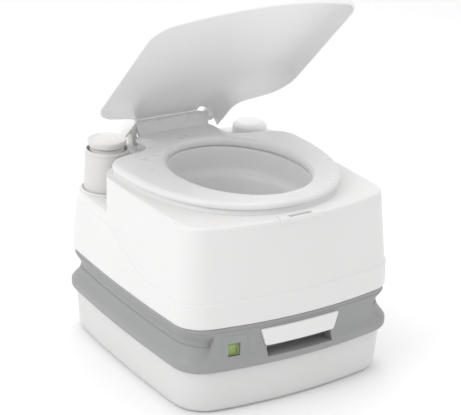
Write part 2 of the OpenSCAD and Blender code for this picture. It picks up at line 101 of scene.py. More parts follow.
def make_camera():
    """Long-lens camera from the front left, slightly rolled."""
    azimuth, elevation, roll = (math.radians(a) for a in CAMERA_ANGLES)
    back = Vector((math.sin(azimuth) * math.cos(elevation), -math.cos(azimuth) * math.cos(elevation),
                   math.sin(elevation)))
    right = Vector((math.cos(azimuth), math.sin(azimuth), 0))
    up = back.cross(right)
    target = Vector((0, 0, AIM_HEIGHT)) + right * AIM_RIGHT + up * AIM_UP
    turned_right = right * math.cos(roll) + up * math.sin(roll)
    turned_up = up * math.cos(roll) - right * math.sin(roll)
    data = bpy.data.cameras.new("front_left_camera")
    data.lens = CAMERA_LENS
    data.sensor_width = 36
    data.clip_end = 50
    camera = bpy.data.objects.new("front_left_camera", data)
    axes = Matrix((turned_right, turned_up, back)).transposed().to_4x4()
    camera.matrix_world = Matrix.Translation(target + back * CAMERA_DISTANCE) @ axes
    bpy.context.collection.objects.link(camera)
    bpy.context.scene.camera = camera


def area_light(name, place, size, power):
    data = bpy.data.lights.new(name, "AREA")
    data.shape = "DISK"
    data.size = size
    data.energy = power
    light = bpy.data.objects.new(name, data)
    light.location = place
    aim = Vector((0, 0, 0.2)) - Vector(place)
    light.rotation_euler = aim.to_track_quat("-Z", "Y").to_euler()
    bpy.context.collection.objects.link(light)


def make_studio():
    world = bpy.data.worlds.new("studio")
    world.use_nodes = True
    world.node_tree.nodes["Background"].inputs["Color"].default_value = (1, 1, 1, 1)
    world.node_tree.nodes["Background"].inputs["Strength"].default_value = WORLD_STRENGTH
    bpy.context.scene.world = world
    bpy.context.scene.view_settings.view_transform = "Standard"
    for light in LIGHTS:
        area_light(*light)


# ---- outlines: plan curves, one radius for each of COLUMNS directions ----

ANGLES = np.linspace(0, 2 * np.pi, COLUMNS, endpoint=False)


def arc(centre, radius, start, end, count):
    turn = np.radians(np.linspace(start, end, count))
    return np.array(centre) + radius * np.stack([np.cos(turn), np.sin(turn)], 1)


def mirrored(points):
    """A right half, from front to rear, closed with its mirror image."""
    return np.concatenate([points, points[::-1] * [-1, 1]])


def by_angle(points, centre, angles):
    """The outline's points where rays from centre at the given angles meet it."""
    ray = points - centre
    turn = np.arctan2(ray[:, 1], ray[:, 0]) % (2 * np.pi)
    order = np.argsort(turn)
    turn, ray = turn[order], ray[order]
    cos = np.interp(angles % (2 * np.pi), turn, ray[:, 0], period=2 * np.pi)
    sin = np.interp(angles % (2 * np.pi), turn, ray[:, 1], period=2 * np.pi)
    return np.stack([cos, sin], 1) + centre


def meeting(c1, r1, c2, r2):
    """Where two circles meet, on the side away from the centre."""
    step = c2 - c1
    length = np.hypot(*step)
    along = (r1 * r1 - r2 * r2 + length * length) / (2 * length)
    aside = math.sqrt(r1 * r1 - along * along)
    middle = c1 + step / length * along
    across = aside * np.array([-step[1], step[0]]) / length
    return max(middle + across, middle - across, key=lambda p: p[0] + p[1])


def body_outline(inset, bow=25, corner=45, centre=(0, 0), angles=ANGLES):
    """Bowed rectangle with round corners, inset from the widest lip."""
    a, b, side_bow = HALF_W - inset, HALF_D - inset, 9
    front_r = (a * a + bow * bow) / (2 * bow)
    side_r = (b * b + side_bow * side_bow) / (2 * side_bow)
    front_c, side_c = np.array([0, b - front_r]), np.array([a - side_r, 0])
    c = meeting(front_c, front_r - corner, side_c, side_r - corner)
    t_side = math.degrees(math.atan2(*(c - side_c)[::-1]))
    t_front = math.degrees(math.atan2(*(c - front_c)[::-1]))
    quarter = np.concatenate([arc(side_c, side_r, 0, t_side, 40), arc(c, corner, t_side, t_front, 60),
                              arc(front_c, front_r, t_front, 90, 80)])
    right = np.concatenate([quarter[::-1] * [1, -1], quarter])
    return by_angle(mirrored(right), np.array(centre), angles)


def lid_outline(inset, rear=192, centre=(0, 20), angles=ANGLES):
    corner_x, corner_r, front_r = 135, 42, 540
    front_c = np.array([0, -195 + front_r])
    corner = np.array([corner_x, front_c[1] - math.sqrt((front_r - corner_r) ** 2 - corner_x ** 2)])
    t = math.degrees(math.atan2(*(corner - front_c)[::-1]))
    shoulder, waist = (125, 56), (113, 136)
    right = np.concatenate([
        arc(front_c, front_r - inset, -90, t, 60), arc(corner, corner_r - inset, t, 0, 40),
        arc(shoulder, 52 - inset, 0, 78, 50), arc(waist, 23 + inset, 258, 180, 40),
        np.linspace((90 - inset, 140), (90 - inset, rear), 20),
        np.linspace((89 - inset, rear), (0, rear), 60)])
    return by_angle(mirrored(right), np.array(centre), angles)


def seat_outline(inset, angles=ANGLES):
    a, b, middle, power = 166 - inset, 219 - inset, 40, 2.25
    turn = np.radians(np.linspace(270, 360, 90))
    front = np.stack([a * np.abs(np.cos(turn)) ** (2 / power),
                      middle - b * np.abs(np.sin(turn)) ** (2 / power)], 1)
    rear = 166
    right = np.concatenate([front, arc((124, 58), 42 - inset, 0, 78, 40),
                            arc((106, 139.5), 34 + inset, 258, 180, 40),
                            np.linspace((72 - inset, 141), (72 - inset, rear), 16),
                            np.linspace((71 - inset, rear), (0, rear), 50)])
    return by_angle(mirrored(right), BOWL_CENTRE, angles)


def ellipse(a, b, y):
    """Ellipse about (0, y) met by rays from the bowl's centre."""
    turn = np.linspace(0, 2 * np.pi, 720, endpoint=False)
    return by_angle(np.stack([a * np.cos(turn), y + b * np.sin(turn)], 1), BOWL_CENTRE, ANGLES)


# ---- mesh making ----


def at_height(outline, z):
    return np.column_stack([outline, np.broadcast_to(z, len(outline))])


def smoothed(rings, steps=4):
    """Smooth curve through rings, up each column; a ring given twice keeps its corner."""
    rings = np.array(rings, float)
    out = []
    for k in range(len(rings) - 1):
        before, a, b, after = (rings[np.clip(k + i, 0, len(rings) - 1)] for i in (-1, 0, 1, 2))
        for t in np.arange(steps) / steps:
            out.append(0.5 * (2 * a + (b - before) * t + (2 * before - 5 * a + 4 * b - after) * t * t
                              + (3 * a - before - 3 * b + after) * t ** 3))
    out.append(rings[-1])
    return np.array(out)


def mesh_object(name, points_mm, faces, sharp=35):
    mesh = bpy.data.meshes.new(name)
    mesh.from_pydata((np.asarray(points_mm, float) * MM).tolist(), [], faces)
    mesh.update()
    obj = bpy.data.objects.new(name, mesh)
    bpy.context.collection.objects.link(obj)
    tidy_mesh(obj, sharp)
    return obj


def tidy_mesh(obj, sharp=35, merge=1e-6):
    """Merges doubles, turns faces outwards and marks the sharp edges."""
    bm = bmesh.new()
    bm.from_mesh(obj.data)
    bmesh.ops.remove_doubles(bm, verts=bm.verts, dist=merge)
    bmesh.ops.dissolve_degenerate(bm, edges=bm.edges, dist=1e-7)
    bmesh.ops.recalc_face_normals(bm, faces=bm.faces)
    bm.to_mesh(obj.data)
    bm.free()
    obj.data.shade_smooth()
    obj.data.set_sharp_from_angle(angle=math.radians(sharp))


def loft(name, rings, closed=False, sharp=35):
    """Solid through rings of equal count, capped at both ends unless it closes on itself."""
    rings = np.array(rings)
    levels, count = rings.shape[:2]
    faces = []
    for j in range(levels if closed else levels - 1):
        low, high = j * count, (j + 1) % levels * count
        faces += [(low + i, low + (i + 1) % count, high + (i + 1) % count, high + i) for i in range(count)]
    if not closed:
        faces.append(tuple(range(count - 1, -1, -1)))
        faces.append(tuple((levels - 1) * count + i for i in range(count)))
    return mesh_object(name, rings.reshape(-1, 3), faces, sharp)


def prism(name, outline, low, high):
    outline = np.asarray(outline, float)
    return loft(name, [at_height(outline, low), at_height(outline, high)])


def block(name, low, high):
    x0, y0, z0 = low
    x1, y1, z1 = high
    return prism(name, [(x0, y0), (x1, y0), (x1, y1), (x0, y1)], z0, z1)


def lathe(name, profile, centre, count=96, sharp=35):
    """Profile of (radius, height) turned about an upright axis, running from the axis back to it."""
    turn = np.linspace(0, 2 * np.pi, count, endpoint=False)
    rings = [np.column_stack([centre[0] + r * np.cos(turn), centre[1] + r * np.sin(turn), np.full(count, z)])
             for r, z in profile]
    return loft(name, rings, sharp=sharp)


def with_modifier(obj, kind, sharp=35, **settings):
    """Applies one modifier to the mesh."""
    modifier = obj.modifiers.new(kind.lower(), kind)
    for key, value in settings.items():
        setattr(modifier, key, value)
    bpy.context.view_layer.update()
    result = bpy.data.meshes.new_from_object(obj.evaluated_get(bpy.context.evaluated_depsgraph_get()))
    obj.modifiers.clear()
    obj.data = result
    obj.data.shade_smooth()
    obj.data.set_sharp_from_angle(angle=math.radians(sharp))


def combine(obj, other, operation="DIFFERENCE"):
    """Cuts other out of obj, or adds it."""
    with_modifier(obj, "BOOLEAN", object=other, operation=operation, solver="EXACT")
    bpy.data.objects.remove(other)


def rounded_box(name, low, high, radius):
    obj = block(name, low, high)
    with_modifier(obj, "BEVEL", width=radius * MM, segments=3, limit_method="ANGLE")
    return obj


def join(obj, *others):
    bm = bmesh.new()
    for part in (obj, *others):
        bm.from_mesh(part.data)
    bm.to_mesh(obj.data)
    bm.free()
    for part in others:
        bpy.data.objects.remove(part)
    obj.data.shade_smooth()
    obj.data.set_sharp_from_angle(angle=math.radians(35))


# ---- shader node groups ----


def shader_group(name, inputs, outputs):
    group = bpy.data.node_groups.new(name, "ShaderNodeTree")
    for label, kind, value in inputs:
        socket = group.interface.new_socket(name=label, in_out="INPUT", socket_type=kind)
        socket.default_value = value
    for label, kind in outputs:
        group.interface.new_socket(name=label, in_out="OUTPUT", socket_type=kind)
    return group, group.nodes.new("NodeGroupInput"), group.nodes.new("NodeGroupOutput")


def noise(tree, vector, scale, detail=3):
    node = tree.nodes.new("ShaderNodeTexNoise")
    node.inputs["Detail"].default_value = detail
    tree.links.new(vector, node.inputs["Vector"])
    if isinstance(scale, bpy.types.NodeSocket):
        tree.links.new(scale, node.inputs["Scale"])
    else:
        node.inputs["Scale"].default_value = scale
    return node.outputs["Fac"]


def math_node(tree, operation, a, b):
    node = tree.nodes.new("ShaderNodeMath")
    node.operation = operation
    for socket, value in zip(node.inputs, (a, b)):
        if isinstance(value, bpy.types.NodeSocket):
            tree.links.new(value, socket)
        else:
            socket.default_value = value
    return node.outputs[0]


def spread(tree, value, low, high):
    """Remaps a 0.3 to 0.7 noise to low..high."""
    node = tree.nodes.new("ShaderNodeMapRange")
    tree.links.new(value, node.inputs["Value"])
    for label, number in (("From Min", 0.3), ("From Max", 0.7)):
        node.inputs[label].default_value = number
    for label, number in (("To Min", low), ("To Max", high)):
        if isinstance(number, bpy.types.NodeSocket):
            tree.links.new(number, node.inputs[label])
        else:
            node.inputs[label].default_value = number
    return node.outputs["Result"]


def blend_colour(tree, share, a, b):
    node = tree.nodes.new("ShaderNodeMix")
    node.data_type = "RGBA"
    tree.links.new(share, node.inputs["Factor"])
    for socket, value in ((node.inputs["A"], a), (node.inputs["B"], b)):
        colour = next(s for s in node.inputs if s.type == "RGBA" and s.name == socket.name)
        if isinstance(value, bpy.types.NodeSocket):
            tree.links.new(value, colour)
        else:
            colour.default_value = value
    return next(s for s in node.outputs if s.type == "RGBA")


def make_moulded_group():
    """Moulded plastic: slow tone drift, gloss drift, and a fine pebbled skin."""
    group, given, out = shader_group(
        "moulded_skin",
        [("Colour", "NodeSocketColor", (0.8, 0.8, 0.8, 1)),
         ("Drift Colour", "NodeSocketColor", (0.76, 0.76, 0.75, 1)),
         ("Gloss Low", "NodeSocketFloat", 0.3), ("Gloss High", "NodeSocketFloat", 0.4),
         ("Grain Scale", "NodeSocketFloat", 900.0), ("Grain Depth", "NodeSocketFloat", 0.4)],
        [("Colour", "NodeSocketColor"), ("Roughness", "NodeSocketFloat"), ("Height", "NodeSocketFloat")])
    place = group.nodes.new("ShaderNodeTexCoord").outputs["Object"]
    drift = spread(group, noise(group, place, 7, 4), 0, 1)
    colour = blend_colour(group, drift, given.outputs["Colour"], given.outputs["Drift Colour"])
    fine = noise(group, place, given.outputs["Grain Scale"], 2)
    waves = noise(group, place, 26, 2)
    height = math_node(group, "MULTIPLY", fine, given.outputs["Grain Depth"])
    height = math_node(group, "ADD", height, math_node(group, "MULTIPLY", waves, 0.35))
    group.links.new(colour, out.inputs["Colour"])
    gloss = spread(group, noise(group, place, 34, 5), given.outputs["Gloss Low"], given.outputs["Gloss High"])
    group.links.new(gloss, out.inputs["Roughness"])
    group.links.new(height, out.inputs["Height"])
    return group


def make_dust_group():
    """A trace of dust in patches on the faces that look up."""
    group, given, out = shader_group(
        "settled_dust",
        [("Colour", "NodeSocketColor", (0.8, 0.8, 0.8, 1)), ("Roughness", "NodeSocketFloat", 0.4),
         ("Amount", "NodeSocketFloat", 0.1)],
        [("Colour", "NodeSocketColor"), ("Roughness", "NodeSocketFloat")])
    place = group.nodes.new("ShaderNodeTexCoord").outputs["Object"]
    normal = group.nodes.new("ShaderNodeNewGeometry").outputs["Normal"]
    split = group.nodes.new("ShaderNodeSeparateXYZ")
    group.links.new(normal, split.inputs[0])
    upward = math_node(group, "MAXIMUM", split.outputs["Z"], 0.0)
    patches = spread(group, noise(group, place, 55, 6), 0, 1)
    settled = math_node(group, "MULTIPLY", upward, patches)
    share = math_node(group, "MULTIPLY", settled, given.outputs["Amount"])
    colour = blend_colour(group, share, given.outputs["Colour"], (0.62, 0.59, 0.53, 1))
    group.links.new(colour, out.inputs["Colour"])
    group.links.new(math_node(group, "ADD", given.outputs["Roughness"], share), out.inputs["Roughness"])
    return group


def make_brushed_group():
    """Rolled steel: fine lines along one axis and a few scuffs."""
    group, given, out = shader_group(
        "brushed_steel",
        [("Colour", "NodeSocketColor", (0.6, 0.6, 0.61, 1)), ("Line Scale", "NodeSocketFloat", 900.0)],
        [("Colour", "NodeSocketColor"), ("Roughness", "NodeSocketFloat"), ("Height", "NodeSocketFloat")])
    place = group.nodes.new("ShaderNodeTexCoord").outputs["Object"]
    stretch = group.nodes.new("ShaderNodeMapping")
    stretch.inputs["Scale"].default_value = (1, 0.03, 1)
    group.links.new(place, stretch.inputs["Vector"])
    lines = noise(group, stretch.outputs[0], given.outputs["Line Scale"], 2)
    scuffs = noise(group, place, 60, 5)
    colour = blend_colour(group, spread(group, scuffs, 0, 1), given.outputs["Colour"], (0.45, 0.45, 0.46, 1))
    group.links.new(colour, out.inputs["Colour"])
    group.links.new(spread(group, lines, 0.22, 0.42), out.inputs["Roughness"])
    group.links.new(lines, out.inputs["Height"])
    return group


MOULDED = make_moulded_group()
DUST = make_dust_group()
BRUSHED = make_brushed_group()


def new_material(name):
    material = bpy.data.materials.new(name)
    material.use_nodes = True
    return material, material.node_tree, material.node_tree.nodes["Principled BSDF"]


def placed_group(tree, group, values):
    node = tree.nodes.new("ShaderNodeGroup")
    node.node_tree = group
    for label, value in values.items():
        node.inputs[label].default_value = value
    return node


def add_bump(tree, shader, height, strength, distance):
    bump = tree.nodes.new("ShaderNodeBump")
    bump.inputs["Strength"].default_value = strength
    bump.inputs["Distance"].default_value = distance
    tree.links.new(height, bump.inputs["Height"])
    tree.links.new(bump.outputs["Normal"], shader.inputs["Normal"])


def plastic(name, colour, drift, gloss, grain=(900, 0.4), bump=0.12, dust=0.04, scatter=0.0, coat=0.0):
    material, tree, shader = new_material(name)
    skin = placed_group(tree, MOULDED, {
        "Colour": (*colour, 1), "Drift Colour": (*drift, 1), "Gloss Low": gloss[0], "Gloss High": gloss[1],
        "Grain Scale": float(grain[0]), "Grain Depth": grain[1]})
    settled = placed_group(tree, DUST, {"Amount": dust})
    tree.links.new(skin.outputs["Colour"], settled.inputs["Colour"])
    tree.links.new(skin.outputs["Roughness"], settled.inputs["Roughness"])
    tree.links.new(settled.outputs["Colour"], shader.inputs["Base Color"])
    tree.links.new(settled.outputs["Roughness"], shader.inputs["Roughness"])
    add_bump(tree, shader, skin.outputs["Height"], bump, 0.0002)
    shader.inputs["IOR"].default_value = 1.5
    shader.inputs["Subsurface Weight"].default_value = scatter
    shader.inputs["Subsurface Scale"].default_value = 0.003
    shader.inputs["Coat Weight"].default_value = coat
    return material


def steel(name, colour, scale):
    material, tree, shader = new_material(name)
    lines = placed_group(tree, BRUSHED, {"Colour": (*colour, 1), "Line Scale": float(scale)})
    tree.links.new(lines.outputs["Colour"], shader.inputs["Base Color"])
    tree.links.new(lines.outputs["Roughness"], shader.inputs["Roughness"])
    add_bump(tree, shader, lines.outputs["Height"], 0.08, 0.0001)
    shader.inputs["Metallic"].default_value = 1
    return material


def clear_plastic(name):
    material, tree, shader = new_material(name)
    skin = placed_group(tree, MOULDED, {
        "Colour": (0.72, 0.86, 0.42, 1), "Drift Colour": (0.66, 0.8, 0.36, 1), "Gloss Low": 0.04,
        "Gloss High": 0.09, "Grain Scale": 500.0, "Grain Depth": 0.1})
    tree.links.new(skin.outputs["Colour"], shader.inputs["Base Color"])
    tree.links.new(skin.outputs["Roughness"], shader.inputs["Roughness"])
    add_bump(tree, shader, skin.outputs["Height"], 0.04, 0.0001)
    shader.inputs["Alpha"].default_value = 0.16
    shader.inputs["IOR"].default_value = 1.45
    return material


MATERIALS = {
    "white_shell": plastic("white_shell", (0.765, 0.765, 0.76), (0.75, 0.75, 0.745), (0.34, 0.46),
                           bump=0.06, dust=0.01, scatter=0.1),
    # Darker copy of the white shell plastic for the waste tank: its lower tone is painted shade, for the shade on
    # the tank's low front near the floor
    "white_tank_painted_shade": plastic("white_tank_painted_shade", (0.68, 0.68, 0.675), (0.665, 0.665, 0.66), (0.34, 0.46), bump=0.06,
                          scatter=0.1),
    # Brighter white than the shell for the lid: the extra lightness is painted light, lifting the lid's shaded
    # underside as more bounce light would
    "white_lid": plastic("white_lid", (0.88, 0.88, 0.878), (0.87, 0.87, 0.867), (0.3, 0.4),
                         bump=0.02, dust=0),
    "seat_plastic": plastic("seat_plastic", (0.75, 0.75, 0.75), (0.742, 0.742, 0.742), (0.26, 0.34),
                            bump=0.015, dust=0),
    "bowl_plastic": plastic("bowl_plastic", (0.74, 0.74, 0.74), (0.73, 0.73, 0.73), (0.3, 0.38),
                            bump=0.015, dust=0),
    "grey_shell": plastic("grey_shell", (0.318, 0.32, 0.323), (0.304, 0.306, 0.309), (0.42, 0.55),
                          grain=(1300, 0.9), bump=0.12, dust=0.03),
    "pump_plastic": plastic("pump_plastic", (0.67, 0.655, 0.64), (0.655, 0.64, 0.625), (0.32, 0.44),
                            bump=0.04),
    "inner_plastic": plastic("inner_plastic", (0.62, 0.62, 0.61), (0.57, 0.57, 0.555), (0.4, 0.55), dust=0.1),
    "handle_plastic": plastic("handle_plastic", (0.79, 0.79, 0.785), (0.765, 0.765, 0.76), (0.28, 0.4)),
    "black_rubber": plastic("black_rubber", (0.03, 0.03, 0.031), (0.045, 0.045, 0.045), (0.6, 0.78),
                            grain=(1600, 1.0), bump=0.35, dust=0.12),
    "green_flag": plastic("green_flag", (0.42, 0.62, 0.08), (0.38, 0.58, 0.07), (0.3, 0.42)),
    "blade_steel": steel("blade_steel", (0.62, 0.62, 0.63), 900),
    "screw_steel": steel("screw_steel", (0.58, 0.58, 0.59), 1500),
    "clear_window": clear_plastic("clear_window"),
}
NODE_SLOT = {s["node"]: s["material_slot"] for s in frame["record"]["subparts"]}
NODE_BODY = {n: b for b, nodes in frame["record"]["behaviour"]["bodies"].items() for n in nodes}


def finish_piece(obj, slot, body, *nodes, finish=None):
    """Gives a piece its finish and its body, and hides the nodes it stands for."""
    obj.data.materials.clear()
    obj.data.materials.append(MATERIALS[finish or slot])
    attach(obj, body)
    if nodes:
        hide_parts(*nodes)
    return obj


# ---- waste tank and its grey collar ----


def make_waste_tank():
    outside = [(0, 21), (0.15, 18.4), (0.9, 15.6), (2.6, 12.9), (5.4, 10.9), (9, 9.7), (14, 8.9), (24, 8.2),
               (BAND_Z - 1.2, 5.7), (BAND_Z - 0.4, 6.1)]
    inside = [(BAND_Z - 0.4, 8.6), (14, 11.9), (6, 14), (3, 20)]
    rings = [at_height(body_outline(inset, 20, 54 - inset / 4), z) for z, inset in outside]
    rings += [at_height(body_outline(inset, 20, 48), z) for z, inset in inside]
    shell = loft("waste_tank_shell", rings)
    # The waste tank takes the darker white, whose lower tone is painted shade
    finish_piece(shell, "white_shell", "waste_tank", "waste_tank", finish="white_tank_painted_shade")


GROOVE = [(69.0, 5.2), (69.2, 3.9), (71.2, 1.4), (73.2, 0.35), (75.2, 0), (82.6, 0), (83.9, 0.25),
          (84.9, 1.0), (88, 2.4), (92, 5.2), (96, 7.6), (101, 9.7), (106.2, 11.0), (106.9, 11.5),
          (107.3, 12.5), (110, 12.7), (115, 11.7), (120, 9.6), (124, 7.4), (127.5, 5.6), (130.2, 4.5),
          (130.9, 4.6), (131.3, 5.2), (136.9, 5.2), (137.6, 5.9)]
# Bow of the collar's front and radius of its corners
COLLAR_BOW, COLLAR_CORNER = 23, 46
PANEL_INSET = 4.5
PANEL_HALF = [(82, 157), (131, 139)]


def front_y(x, inset, bow=COLLAR_BOW):
    """How far forward the bowed front wall lies at x."""
    a = HALF_W - inset
    radius = (a * a + bow * bow) / (2 * bow)
    return -(HALF_D - inset) + radius - np.sqrt(radius * radius - np.asarray(x) ** 2)


def collar_ring(z, inset):
    """One level of the collar, with columns that follow the slanted ends of the flat panels."""
    half = np.interp(z, *zip(*PANEL_HALF))
    edge = math.atan2(-front_y(half, PANEL_INSET), half)
    soft = 0.006
    quarter = np.concatenate([np.linspace(0, edge - soft, 90, endpoint=False),
                              np.linspace(edge - soft, edge + soft, 8, endpoint=False),
                              np.linspace(edge + soft, np.pi / 2, 30, endpoint=False)])
    angles = np.unique(np.concatenate([quarter, np.pi - quarter, [np.pi / 2]]) % (2 * np.pi))
    angles = np.concatenate([angles, angles[1:-1] + np.pi])
    groove = body_outline(inset, COLLAR_BOW, COLLAR_CORNER, angles=angles)
    plate = body_outline(PANEL_INSET, COLLAR_BOW, COLLAR_CORNER, angles=angles)
    away = np.abs(np.arctan2(np.abs(groove[:, 1]), np.abs(groove[:, 0])))
    inside = np.clip((away - edge + soft) / (2 * soft), 0, 1)
    inside = inside * inside * (3 - 2 * inside)
    reach = np.hypot(*plate.T) - np.hypot(*groove.T)
    push = inside * np.maximum(reach, 0) * (z < 131.2)
    return at_height(groove * (1 + push / np.hypot(*groove.T))[:, None], z)


# Lowest and highest corners of the hollows cut into the collar's walls
POCKET = ((-57, -HALF_D - 20, 82), (57, -185, 127))
BAY = ((-148, 158, 74), (-32, 238, 131))
LATCH_RECESS = ((86, 199.5, 84), (114, 230, 118))


def grown(corners, by):
    return tuple(c - by for c in corners[0]), tuple(c + by for c in corners[1])


def make_collar():
    """Hollow shell with the handle's pocket, the spout's bay and the ways through to the inside."""
    collar = loft("tank_collar_shell", [collar_ring(z, inset) for z, inset in GROOVE])
    inside = [(BAND_Z - 2, 8.6), (75, 5), (84, 4.6), (88, 6), (94.5, 10.4), (100, 13.4), (107, 16.6),
              (113, 16.4), (120, 13.8), (126, 10.6), (130, 9), (133.6, 9)]
    room = loft("room", [at_height(body_outline(inset, COLLAR_BOW, 43), z) for z, inset in inside])
    for name, corners in (("a", POCKET), ("b", BAY), ("c", LATCH_RECESS)):
        combine(room, block(name, *grown(corners, 3)))
    combine(collar, room)
    for name, corners in (("a", POCKET), ("b", BAY), ("c", LATCH_RECESS)):
        combine(collar, block(name, *corners))
    neck_low, neck_high = box_mm("valve_neck")
    middle = (neck_low + neck_high) / 2
    combine(collar, lathe("d", [(60.5, 120), (60.5, 150)], middle))
    vent_low, vent_high = box_mm("vent_housing")
    combine(collar, lathe("e", [(13, 120), (13, 150)], (vent_low + vent_high) / 2, 48))
    window_low, window_high = box_mm("level_window")
    combine(collar, block("f", (window_low[0], -HALF_D - 20, window_low[2]),
                          (window_high[0], -170, window_high[2])))
    combine(collar, block("g", (-22, -190, 117), (22, -170, 126)))
    sunk = [np.column_stack([rounded_polygon(handle_corners(0.5), 3.6), np.full(24, y)])[:, [0, 2, 1]]
            for y in (-HALF_D - 20, -201.6)]
    combine(collar, loft("h", sunk))
    finish_piece(collar, "grey_shell", "waste_tank", "tank_collar")


def rounded_polygon(corners, radius, steps=6):
    """Corners rounded by arcs, as points in order."""
    corners = np.array(corners, float)
    out = []
    for i, corner in enumerate(corners):
        before = corners[i - 1] - corner
        after = corners[(i + 1) % len(corners)] - corner
        before /= np.hypot(*before)
        after /= np.hypot(*after)
        for t in np.linspace(0, 1, steps):
            near = corner + before * radius * (1 - t) ** 2 + after * radius * t ** 2
            out.append(near)
    return np.array(out)


def front_plate(name, corners, radius, profile, inset):
    """Plate that follows the bowed front: profile of (drawn in, depth behind the face)."""
    outline = rounded_polygon(corners, radius)
    dense = []
    for a, b in zip(outline, np.roll(outline, -1, 0)):
        steps = max(1, int(np.hypot(*(b - a)) / 3))
        dense += [a + (b - a) * t for t in np.arange(steps) / steps]
    outline = np.array(dense)
    middle = (outline.min(0) + outline.max(0)) / 2
    half = (outline.max(0) - outline.min(0)) / 2
    rings = []
    for draw, depth in profile:
        scaled = middle + (outline - middle) * (1 - draw / half)
        rings.append(np.column_stack([scaled[:, 0], front_y(scaled[:, 0], inset) + depth, scaled[:, 1]]))
    face = []
    for share in (0.06, 0.3, 0.6, 0.85):
        flat = middle + (rings[0][:, [0, 2]] - middle) * share
        face.append(np.column_stack([flat[:, 0], front_y(flat[:, 0], inset) + profile[0][1], flat[:, 1]]))
    return loft(name, face + rings)


def handle_corners(extra=0):
    half, top = box_mm("pull_handle")[1][[0, 2]]
    return [(-60 - extra, 99.6 - extra), (60 + extra, 99.6 - extra), (half + extra, top + extra),
            (-half - extra, top + extra)]


def make_handle():
    handle = front_plate("pull_handle_grip", handle_corners(), 3.2,
                         [(1.9, 0), (1.0, 0.25), (0.4, 0.8), (0, 1.9), (0, 6.2), (0.5, 7.4), (2.5, 8)], 0.5)
    plates = [rounded_box(f"clevis_{z}", (-24, -HALF_D + 7, z), (24, -187.6, z + 3.3), 0.8)
              for z in (114.5, 121.2)]
    join(handle, *plates)
    finish_piece(handle, "handle_plastic", "slide_valve", "pull_handle")


def make_level_bezel():
    low, high = box_mm("level_bezel")
    corners = [(low[0], low[2]), (high[0], low[2]), (high[0], high[2]), (low[0], high[2])]
    bezel = front_plate("level_window_bezel", corners, 2.4, [(0.7, 0), (0.2, 0.2), (0, 0.6), (0, 2.4)], 3.9)
    window_low, window_high = box_mm("level_window")
    combine(bezel, block("a", (window_low[0], -HALF_D - 5, window_low[2]),
                         (window_high[0], -180, window_high[2])))
    finish_piece(bezel, "grey_shell", "waste_tank", "level_bezel")


# ---- flush tank, bowl ----

# Draft of the flush tank: height, inset, bow of the front, radius of the corners
DRAFT = [(138, 2.3, 25, 45), (144, 2.3, 25, 45), (177, 2.9, 25, 45), (235, 7.6, 28, 40), (281, 11.2, 30, 37),
         (289, 12.4, 30, 35)]
# Rings of the outer wall: height, inset added to the draft, share of the waist line's rise
WALL_RINGS = [(SPLIT_Z, 3.6, 0), (138.25, 2.5, 0), (138.9, 1.2, 0), (140.2, 0.35, 0), (142, 0, 0),
              (150, 0, 0.1), (162, 0, 0.5), (172, 0, 0.9), (176, 0, 1), (176.9, 0.15, 1),
              (177.3, 0.7, 1), (177.7, 1.25, 1), (178.6, 1.4, 1), (184, 1.4, 0.95), (200, 1.4, 0.75),
              (220, 1.4, 0.5), (240, 1.4, 0.3), (262, 1.4, 0.1), (280, 1.4, 0), (285.6, 1.5, 0),
              (287.4, 1.9, 0), (288.5, 2.7, 0), (289, 4, 0)]


def waist_rise(points):
    """The waist line climbs along each side towards the rear, to just under the pump's notch."""
    along = np.clip((points[:, 1] + 75) / 135, 0, 1)
    return 44 * along * along * (3 - 2 * along) * (np.abs(points[:, 0]) > 120)


def wall_ring(z, extra, share):
    guide = body_outline(5, 25, 45, centre=BOWL_CENTRE)
    heights = z + share * waist_rise(guide)
    tables = np.array(DRAFT).T
    levels = np.linspace(SPLIT_Z, DECK_Z, 40)
    inset, bow, corner = (np.interp(levels, tables[0], table) for table in tables[1:])
    stack = np.array([body_outline(i + extra, b, c, centre=BOWL_CENTRE)
                      for i, b, c in zip(inset, bow, corner)])
    out = np.empty_like(guide)
    for axis in (0, 1):
        for i in range(len(guide)):
            out[i, axis] = np.interp(heights[i], levels, stack[:, i, axis])
    return at_height(out, heights)


# The bowl's inner face: half width, half length, centre, height
BOWL = [(109.6, 136.6, -27, 296.2), (106.4, 133.4, -27, 296.0), (104.3, 131.3, -27, 295),
        (103.3, 130.3, -27, 292), (102.6, 129.4, -27, 282), (101.2, 127.8, -27, 264),
        (100.5, 127, -27, 259), (99.3, 125.6, -27, 256.8), (96.6, 122.6, -27, 255.9),
        (94, 119.9, -27, 255), (92.6, 118, -27, 252.6), (91.2, 115.6, -26.6, 247),
        (85.4, 105.4, -25, 224), (77.4, 92.2, -23.5, 203), (67.4, 77.4, -22, 182),
        (58.4, 63.8, -21, 169), (51.4, 53.4, -20, 158), (48.2, 48.6, -20, 150), (47.4, 47.4, -20, 141.7)]
BOWL_WALL = 2.6


def make_bowl():
    inner = [at_height(ellipse(a, b, y), z) for a, b, y, z in BOWL]
    outer = [at_height(ellipse(a + BOWL_WALL, b + BOWL_WALL, y), z) for a, b, y, z in BOWL[:3:-1]]
    rim = [at_height(ellipse(a, b, -27), z) for a, b, z in
           [(106, 133, 293.5), (112.6, 139.6, 293.6), (113, 140, 294.2), (112.8, 139.8, 295.7),
            (112, 139, 296.2)]]
    bowl = loft("bowl_shell", np.array(inner + outer + rim), closed=True, sharp=50)
    finish_piece(bowl, "bowl_plastic", "flush_tank", "bowl")


def notch_outline():
    """Plan of the rear left notch, outside the lid's curved edge."""
    clearance = 1.5
    return np.concatenate([
        [(-176, 56.2)],
        arc((-125, 56), 52 - clearance, 180, 102, 30)[1:], arc((-113, 136), 23 + clearance, 282, 360, 24),
        [(-88.5, 180), (-88.5, 230), (-230, 230), (-230, 56.2)]])


